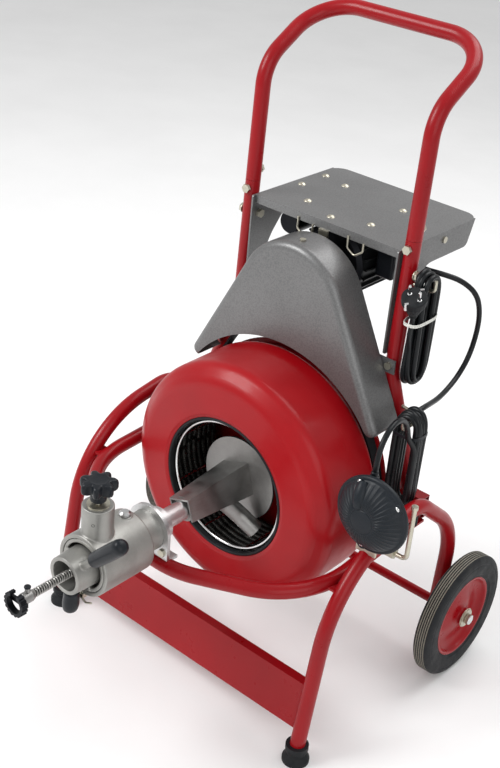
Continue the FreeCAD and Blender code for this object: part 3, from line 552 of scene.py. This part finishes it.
hose_route = [(99.7, 318, 684), (124, 320, 681), (152, 330, 680), (180, 350, 672), (198, 374, 648),
              (203, 387, 612), (203, 388, 572), (204, 374, 534), (207, 342, 510), (212, 304, 501),
              (219, 268, 502), (225, 236, 508), (230, 212, 513.5), (230, 197, 513)]
hose_turns = [(12.5, 76, 9), (13, 79, 8), (12.5, 76, 0), (13, 81, -8), (19, 82, -12),
              (18.5, 89, -4), (19.5, 84, 4), (19, 89, 12), (19.5, 85, -12.5)]
drop_route = [(246, 149, 488), (247, 143, 508), (249.5, 124, 534), (253.5, 92, 545),
              (258.5, 60, 532), (261.6, 44, 504), (262, 43, 474.2)]
hose_hank = hank_turns((233, 176, 434), (-1, 0, 0), (0, 1, 0), hose_turns, 0.79, 0.60)
hose_points = hose_route + [tuple(p) for p in hose_hank] + drop_route
hose_line = spline_cord("air_hose_line", hose_points, 0.009, "cord_sheath")
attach(hose_line, "frame")
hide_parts("air_hose", "air_hose_hank")

# strain reliefs where the lead and the hose leave the terminal box
for name, start, after, radius in (("lead_relief", lead_route[0], lead_route[1], 4.0),
                                   ("hose_relief", hose_route[0], hose_route[1], 4.5)):
    start = Vector(start) * MM
    way = Vector(after) * MM - start
    outline = [(0, -1), (radius + 5, -1), (radius + 5, 3, 1), (radius + 3, 4)]
    for ring in range(6):
        height = 5 + ring * 3.4
        crest = radius + 2.6 - ring * 0.3
        valley = radius + 1.5 - ring * 0.22
        outline = outline + [(crest, height, 0.3), (crest, height + 2, 0.3),
                             (valley, height + 2.2, 0.2), (valley, height + 3.2, 0.2)]
    outline = outline + [(radius + 0.15, 26)]
    points, faces = lathe(rounded(outline), start, way, 40)
    add_mesh(name, points, faces, "black_rubber", "frame")

# mains plug: ribbed rubber body, recessed pin face and earth clips
plug_way = Vector((-0.2, 0.42, -0.88)).normalized()
plug_at = Vector((209.0, 165.0, 710.0)) * MM
body_outline = [(0, 0), (17.2, 0), (17.2, -0.2), (18.6, 0, 0.5), (19.5, 1.2, 0.6), (19.5, 12, 2),
                (17.2, 17, 1.5), (14.5, 23, 2), (12, 29, 2), (9.6, 36, 1.5), (9.2, 37.5, 0.6)]
for ring in range(4):
    height = 38 + ring * 2.2
    crest = 8.0 - ring * 0.45
    valley = 6.8 - ring * 0.3
    body_outline = body_outline + [(crest, height, 0.2), (crest, height + 1.2, 0.2),
                                   (valley, height + 1.4, 0.2), (valley, height + 2.0, 0.2)]
body_outline = body_outline + [(4.1, 47.5)]


def gripped(radius, height, angle):
    if radius > 12.0 and 4.0 < height < 24.0:
        return radius - 0.5 * max(0.0, math.cos(angle * 18)) * min(1.0, (height - 4) / 3), height
    return radius, height


points, faces = lathe(rounded(body_outline), plug_at, plug_way, 144, gripped)
plug_body = add_mesh("plug_body", points, faces, "black_rubber", "frame")
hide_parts("mains_plug")
plug_side = plug_way.cross(Vector((0, 1, 0))).normalized()
parts = []
for reach in (-9.5, 9.5):
    outline = [(3.3, -0.2), (3.3, 0.4, 0.2), (2.4, 0.6), (2.4, 17.5, 0.8), (1.5, 19), (0, 19)]
    parts.append(lathe(rounded(outline), plug_at + plug_side * reach * MM, -plug_way, 24))
points, faces = merged(parts)
plug_pins = add_mesh("plug_pins", points, faces, "chrome_wire", "frame")
parts = []
clip_side = plug_way.cross(plug_side).normalized()
for sign in (-1, 1):
    clip_at = plug_at + clip_side * sign * 17.9 * MM + plug_way * 6.5 * MM
    parts.append(block(clip_at, (0.006, 0.0032, 0.015), plug_way))
points, faces = merged(parts)
plug_clips = add_mesh("plug_clips", points, faces, "chrome_wire", "frame", False)

# hose connector on the foot switch
outline = [(0, -14), (8, -14, 0.8), (8, -7, 0.5), (6.6, -6), (6.6, -4), (7.6, -3.6, 0.3),
           (7.6, 1.5, 0.6), (5.9, 2.2), (5.9, 8, 0.6), (4.6, 9)]
points, faces = lathe(rounded(outline), Vector((262.0, 43.0, 474.0)) * MM, (0, 0, 1), 36)
add_mesh("hose_connector", points, faces, "black_plastic", "frame")

# cable ties round the two hanks: middle, half widths and height in mm
TIE_STEPS = 56
TIE_WIDTH = 0.0055
TIE_THICKNESS = 0.0012
for name, centre, half_x, half_y, height, look in (
        ("lead_tie", (194.5, 216.5), 15.2, 31.5, 652.0, "white_nylon"),
        ("hose_tie", (233.0, 176.0), 24.0, 19.0, 484.0, "black_plastic")):
    path = []
    for i in range(TIE_STEPS):
        angle = 2 * math.pi * i / TIE_STEPS
        c = math.cos(angle)
        s = math.sin(angle)
        x = centre[0] + math.copysign(abs(c) ** 0.6, c) * half_x
        y = centre[1] + math.copysign(abs(s) ** 0.6, s) * half_y
        path.append(Vector((x, y, height + 1.5 * math.sin(angle + 0.6))) * MM)
    points, faces = band(path, TIE_WIDTH, TIE_THICKNESS)
    add_mesh(name, points, faces, look, "frame")

# ---- wheels ------------------------------------------------------------------------------

TYRE_RADIUS = 112
GROOVE_FLOOR = 110.8
GROOVES = (25.0, 21.0, 17.0, 13.0, 9.0)
DISH_INNER = 30.0
DISH_WIDTH = 32.0


def pressed(radius, height, angle):
    """A slight flutter left in the rim by the press."""
    if DISH_INNER < radius < DISH_INNER + DISH_WIDTH:
        ease = math.sin(math.pi * (radius - DISH_INNER) / DISH_WIDTH)
        lift = 0.35 * ease * max(0.0, math.cos(angle * 5)) ** 2
        return radius, height - lift if height > 17 else height + lift
    return radius, height


for sign, name in ((-1, "left"), (1, "right")):
    at = Vector((sign * 0.298, AXLE_Y, AXLE_Z))
    along = (sign, 0, 0)
    body = "wheel_" + name
    outline = [(74.2, 29.6), (78, 30.6, 1), (80, 32.2, 0.8), (96, 33.4, 2), (99, 32.6, 0.5),
               (100.5, 33.2, 0.6), (108, 31.2, 3), (111.4, 28.2, 1.5), (TYRE_RADIUS, 26.6, 0.5)]
    for middle in GROOVES:
        outline = outline + [(TYRE_RADIUS, middle + 1.0, 0.2), (GROOVE_FLOOR, middle + 0.8, 0.2),
                             (GROOVE_FLOOR, middle - 0.8, 0.2), (TYRE_RADIUS, middle - 1.0, 0.2)]
    outline = outline + [(TYRE_RADIUS, 7.4, 0.5), (111.4, 5.8, 1.5), (108, 2.8, 3),
                         (100.5, 0.8, 0.6), (99, 1.4, 0.5), (96, 0.6, 2),
                         (80, 1.8, 0.8), (78, 3.4, 1), (74.2, 4.4)]
    outline = outline + [(74.2, 29.6)]
    points, faces = lathe(rounded(outline, 2), at, along, 120)
    tyre = add_mesh("tyre_" + name + "_ribbed", points, faces, "tyre_rubber", body)
    tyre.data.materials.append(LOOKS["tyre_groove"])
    for face in tyre.data.polygons:
        centre = face.center - at
        radius = math.hypot(centre.y, centre.z) * 1000
        if 110.0 < radius < 111.5 and 7.0 < abs(centre.x) * 1000 < 27.0:
            face.material_index = 1
    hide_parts("tyre_" + name)
    outline = [(8.08, 34), (13, 34, 0.8), (14.6, 33, 0.8), (14.8, 27.5, 1.5), (20, 24.6, 3),
               (27, 23.2, 4), (46, 17.4, 6), (58, 17.2, 5), (66.5, 22, 5), (69.5, 29.4, 1.5),
               (73.9, 30.2, 0.6), (73.9, 28.6), (73.9, 5.4), (73.9, 3.8, 0.6), (69.5, 4.6, 1.5),
               (66.5, 9, 5), (58, 13.6, 5), (46, 13.4, 6), (27, 10.8, 4), (20, 9.4, 3),
               (14.8, 6.5, 1.5), (14.6, 1, 0.8), (13, 0, 0.8), (8.08, 0)]
    points, faces = lathe(rounded(outline, 3), at, along, 120, pressed)
    rim = add_mesh("rim_" + name + "_pressed", points, faces, "rim_red", body)
    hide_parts("rim_" + name)
    outline = [(0, 0), (8.6, 0, 0.3), (9.0, 0.4, 0.3), (7.6, 1.2, 0.6), (3.4, 1.8, 0.8), (0, 1.9)]
    points, faces = lathe(rounded(outline), Vector((sign * 0.3424, AXLE_Y, AXLE_Z)), along, 32)
    add_mesh("axle_cap_" + name, points, faces, "chrome_wire", "frame")
    outline = [(12.6, 0), (17.6, 0, 0.3), (17.6, 1.5, 0.4), (14.2, 1.7, 0.4), (12.9, 0.9, 0.2),
               (12.6, 0)]
    points, faces = lathe(rounded(outline), Vector((sign * 0.3322, AXLE_Y, AXLE_Z)), along, 56)
    add_mesh("hub_washer_" + name, points, faces, "zinc_steel", "frame")

# ---- drain cable -------------------------------------------------------------------------
CABLE_TURNS = 80
CABLE_STEPS = 14
CABLE_LENGTH = 340.0
CABLE_FRONT = -386.0
COIL_RADIUS = 5.3
path = []
for i in range(CABLE_TURNS * CABLE_STEPS + 1):
    angle = 2 * math.pi * i / CABLE_STEPS
    reach = CABLE_FRONT + CABLE_LENGTH * i / (CABLE_TURNS * CABLE_STEPS)
    path.append(Vector((math.cos(angle) * COIL_RADIUS, reach,
                        338.0 + math.sin(angle) * COIL_RADIUS)) * MM)
points, faces = tube(path, 0.00145, 8)
cable = add_mesh("cable_spring", points, faces, "zinc_steel", "cable")
cable.data.materials[0] = metal("bright_spring_wire", (0.42, 0.41, 0.39), 0.3, 0.45, 1500.0,
                                0.00003, None, 90.0, 0.5)
points, faces = lathe([(0, 0), (4.3, 0), (4.3, 339), (0, 339)], (0, -0.3858, DRUM_Z), (0, 1, 0), 16)
add_mesh("cable_core", points, faces, "black_metal", "cable")
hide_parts("drain_cable")

# cable wound inside the drum, each ring a little out of true; the first ring of the two
# outer layers is left out, where the drum's shoulder curves in
WOUND_LAYERS = 5
WOUND_LAPS = 8
WIRE_PITCH = 0.0042
WOUND_RADIUS = 0.15
parts = []
for layer in range(WOUND_LAYERS):
    for lap in range(WOUND_LAPS):
        radius = 134.2 + layer * 12.3
        depth = 50.5 + lap * 12.2
        if layer > 2 and lap == 0:
            continue
        path = []
        for i in range(96):
            angle = 2 * math.pi * i / 96
            shake = noise.noise(Vector((math.cos(angle) * 2, math.sin(angle) * 2,
                                        layer * 3.1 + lap * 1.7)))
            r = radius + shake * 0.5
            path.append(Vector((r * math.cos(angle), depth + shake * 0.6,
                                338 + r * math.sin(angle))) * MM)
        parts.append(tube(path, 0.0059, 10, True))
points, faces = merged(parts)
wound = add_mesh("wound_cable", points, faces, "cable_steel", "drum")
look = Look("wound_spring_cable", metal=0.9)
coords = look.tree.nodes.new("ShaderNodeAttribute")
coords.attribute_name = "along"
wave = look.tree.nodes.new("ShaderNodeMath")
wave.operation = "SINE"
scaled = look.tree.nodes.new("ShaderNodeMath")
scaled.operation = "MULTIPLY"
scaled.inputs[1].default_value = 2 * math.pi / WIRE_PITCH
look.link(coords.outputs["Fac"], scaled.inputs[0])
look.link(scaled.outputs[0], wave.inputs[0])
look.colour(look.ramp(look.noise(60.0, 5.0),
                      [(0.3, (0.02, 0.02, 0.02)), (0.7, (0.075, 0.072, 0.066))]))
look.rough(look.noise(300.0, 3.0), 0.35, 0.5)
look.bump(wave.outputs[0], 0.0006, 0.8)
wound.data.materials[0] = look.mat
along = wound.data.attributes.new("along", "FLOAT", "POINT")
for i, vertex in enumerate(wound.data.vertices):
    p = vertex.co
    angle = math.atan2(p.z - DRUM_Z, p.x)
    along.data[i].value = angle * WOUND_RADIUS
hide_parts("stored_cable_coil")

# ---- feed unit ---------------------------------------------------------------------------
melted("feed_body_cast", "feed_body", 0.0011, 5, "cast_alloy", "frame")
melted("feed_nose_cast", "feed_nose", 0.0009, 4, "cast_alloy", "feed_nose")

parts = []
for turn_deg, start, stop, size in ((45.0, 57.0, 140.0, 13.0), (265.0, 38.0, 78.0, 13.0)):
    angle = math.radians(turn_deg)
    out = Vector((math.cos(angle), 0, math.sin(angle)))
    length = stop - start
    outline = [(5.6, 0.2), (9.5, 0.2, 1.5), (11.6, 2.5, 2), (12.2, 12, 6),
               (12.9, length * 0.55, 12), (12.4, length - 10, 4), (10.5, length - 3.5, 3),
               (5.5, length - 0.4, 3), (0, length)]
    foot = Vector((0, NOSE_Y, DRUM_Z)) + out * start * MM
    parts.append(lathe(rounded(outline, 5), foot, out, 48))
points, faces = merged(parts)
grips = add_mesh("lever_grip_pair", points, faces, "black_plastic", "feed_nose")
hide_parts("lever_grips")


KNOB_LOBES = 7


def knob_lobes(radius, height, angle):
    if height > 13.0 and radius > 12.0:
        ease = min(1.0, (radius - 12.0) / 10.0)
        lobe = math.cos(angle * KNOB_LOBES)
        reach = 23.6 + 4.4 * math.copysign(abs(lobe) ** 0.75, lobe)
        return radius * (1 + ease * (reach / 26.0 - 1)), height
    return radius, height


outline = [(4.1, 0), (11, 0, 1), (12.2, 1.5, 1), (12.2, 9, 2), (13.5, 13.5, 2), (17.5, 15.6, 1.5),
           (22.5, 16.6, 1), (25.2, 18.5, 1), (26.4, 21.5, 1), (26.6, 29, 1.5),
           (25.4, 33, 1.5), (22.6, 35.2, 1.2), (15, 36.0, 1), (11, 35.2, 1), (6, 34.8, 1),
           (0, 34.7)]
points, faces = lathe(rounded(outline, 3), (0, CLAMP_Y, 0.4410), (0, 0, 1), 168, knob_lobes)
knob = add_mesh("star_knob_head", points, faces, "black_plastic", "clamp_knob",
                True, 60)
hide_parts("star_knob")
THREAD_TURNS = 36
outline = [(0, 0), (3.6, 0.4)]
for ring in range(THREAD_TURNS):
    outline = outline + [(3.95, 1.0 + ring * 1.5), (3.45, 1.75 + ring * 1.5)]
outline = outline + [(3.9, 56), (3.9, 75), (0, 75)]
points, faces = lathe([Vector(p) for p in outline], (0, CLAMP_Y, 0.385), (0, 0, 1), 24)
add_mesh("knob_thread", points, faces, "zinc_steel", "clamp_knob")

# black button on the coupling pin, set screw in the clamp boss
outline = [(0, -1.2), (4.5, -1.2, 0.3), (5.0, -0.6, 0.3), (5.0, 1.6, 0.8), (3.6, 2.6, 0.8),
           (0, 2.8)]
points, faces = lathe(rounded(outline), (0, -0.396, 0.3551), (0, 0, 1), 28)
add_mesh("coupling_button", points, faces, "black_plastic", "cable")
hole_way = Vector((0.50, -0.866, 0.0))
outline = [(0, -2), (2.5, -2), (2.5, 0.25, 0.2), (2.0, 0.2, 0.1), (1.9, -0.1), (0, -0.1)]
hole_at = Vector((0, CLAMP_Y, 0.412)) + hole_way * 0.024
points, faces = lathe(rounded(outline), hole_at, hole_way, 28)
add_mesh("boss_set_screw", points, faces, "cord_sheath", "frame")

# ---- foot switch -------------------------------------------------------------------------
DOME_STEPS = 14
DOME_RIBS = 40
RIVET_CIRCLE = 0.0545
HUMP_STEPS = 16
HUMP_SIDES = 28
dome_outline = [(58.6, 0), (62.6, 0, 0.5), (63, 1.2, 0.5), (63, 5.5, 1.2), (60.5, 7.4, 1.2),
                (57.5, 7.8, 0.8)]
for k in range(DOME_STEPS + 1):
    t = k / DOME_STEPS
    radius = 57.0 - 36.0 * t
    dome_outline.append((radius, 8.6 + 22.5 * math.sin(t * math.pi / 2) ** 0.85))
dome_outline = dome_outline + [(20.4, 31.2, 0.4), (19.2, 30.6, 0.4), (18.2, 31.8, 0.5),
                               (10, 32.7, 1), (0, 33.0)]


def ribbed(radius, height, angle):
    if 21.0 < radius < 57.2 and height > 8.0:
        ease = min(1.0, (57.2 - radius) / 4.0) * min(1.0, (radius - 21.0) / 3.0)
        rib = max(0.0, math.cos(angle * DOME_RIBS)) ** 1.5
        return radius, height - 0.3 + 1.25 * rib * ease
    return radius, height


points, faces = lathe(rounded(dome_outline, 3), (PEDAL_X, PEDAL_Y, PEDAL_Z), (0, -1, 0), 320,
                      ribbed)
dome = add_mesh("pedal_dome_ribbed", points, faces, "switch_rubber", "pedal",
                True, 75)
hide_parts("pedal_dome")
parts = []
lugs = []
for degrees in (118.0, 38.0, 262.0):
    angle = math.radians(degrees)
    at = Vector((PEDAL_X + RIVET_CIRCLE * math.cos(angle), PEDAL_Y - 0.0088,
                 PEDAL_Z + RIVET_CIRCLE * math.sin(angle)))
    rivet = rounded([(4.6, -1.5), (4.6, 0.4, 0.4), (3.4, 1.8, 0.8), (0, 2.2)])
    seat = rounded([(8.6, -1.6), (8.2, 0.2, 0.6), (5.0, 0.4), (0, 0.4)])
    parts.append(lathe(rivet, at, (0, -1, 0), 24))
    lugs.append(lathe(seat, at, (0, -1, 0), 28))
# moulded hump over the hose entry
path = []
for k in range(HUMP_STEPS + 1):
    t = k / HUMP_STEPS
    path.append(Vector((0.2695 - 0.0075 * t, -0.0020 + 0.0180 * t, 0.4420 + 0.0360 * t)))
hump_points, hump_faces = tube(path, 0.0112, HUMP_SIDES)
for k in range(HUMP_STEPS + 1):
    t = k / HUMP_STEPS
    size = math.sin(math.pi * (0.08 + 0.84 * t)) ** 0.45
    for i in range(k * HUMP_SIDES, (k + 1) * HUMP_SIDES):
        hump_points[i] = path[k] + (hump_points[i] - path[k]) * size
add_mesh("pedal_hump", hump_points, hump_faces, "switch_rubber", "pedal")
points, faces = merged(parts)
add_mesh("pedal_rivets", points, faces, "chrome_wire", "pedal")
points, faces = merged(lugs)
add_mesh("pedal_rivet_seats", points, faces, "switch_rubber", "pedal")

# ---- fasteners ---------------------------------------------------------------------------
washers = []
for sign in (1, -1):
    washer = rounded([(4, 0), (8.5, 0, 0.2), (8.5, 1.2, 0.2), (4, 1.3)])
    washers.append(lathe(washer, (sign * 0.17252, 0.2186, 0.716), (sign, 0, 0), 32))
points, faces = merged(washers)
add_mesh("bolt_washers", points, faces, "zinc_steel", "frame")

# edge rounding of the sheet and bar pieces, in metres
EDGES = (("motor_tray", 0.0009), ("crossbar", 0.0008), ("feed_bracket", 0.0008),
         ("distributor_arm", 0.0006), ("terminal_box", 0.0004), ("motor_mount", 0.0005),
         ("zinc_brackets", 0.0005), ("drum_crossmember", 0.0008), ("guard_backplate", 0.0004),
         ("frame_bolts", 0.0006), ("frame_struts", 0.0005), ("axle_hardware", 0.0004),
         ("cutter_head", 0.0004), ("distributor_disc", 0.0005))
for node_name, width in EDGES:
    soften(NODES[node_name], width)

# ---- stage -------------------------------------------------------------------------------
floor_mesh = bpy.data.meshes.new("floor")
floor_mesh.from_pydata([(-30, -30, 0), (30, -30, 0), (30, 30, 0), (-30, 30, 0)], [], [(0, 1, 2, 3)])
floor = bpy.data.objects.new("floor", floor_mesh)
SCENE.collection.objects.link(floor)
look = Look("pale_floor", specular=0.2)
look.colour(look.ramp(look.noise(3.0, 5.0), [(0.3, (0.90, 0.90, 0.90)), (0.7, (0.94, 0.94, 0.94))]))
look.rough(look.noise(40.0, 4.0), 0.75, 0.9)
floor_mesh.materials.append(look.mat)

world = bpy.data.worlds.new("studio")
world.use_nodes = True
world.node_tree.nodes["Background"].inputs["Color"].default_value = (1.0, 1.0, 1.0, 1.0)
world.node_tree.nodes["Background"].inputs["Strength"].default_value = 0.6
SCENE.world = world


LIGHT_AIM = Vector((0, 0, 0.45))


def area_light(name, at, size, energy):
    data = bpy.data.lights.new(name, "AREA")
    data.shape = "SQUARE"
    data.size = size
    data.energy = energy
    obj = bpy.data.objects.new(name, data)
    obj.location = at
    obj.rotation_mode = "QUATERNION"
    obj.rotation_quaternion = (LIGHT_AIM - Vector(at)).to_track_quat("-Z", "Y")
    SCENE.collection.objects.link(obj)


area_light("key", (-1.7, -1.9, 2.7), 1.5, 78.0)
area_light("fill", (2.6, -1.4, 1.7), 2.2, 20.0)
area_light("top", (0.4, 1.6, 2.9), 2.0, 44.0)
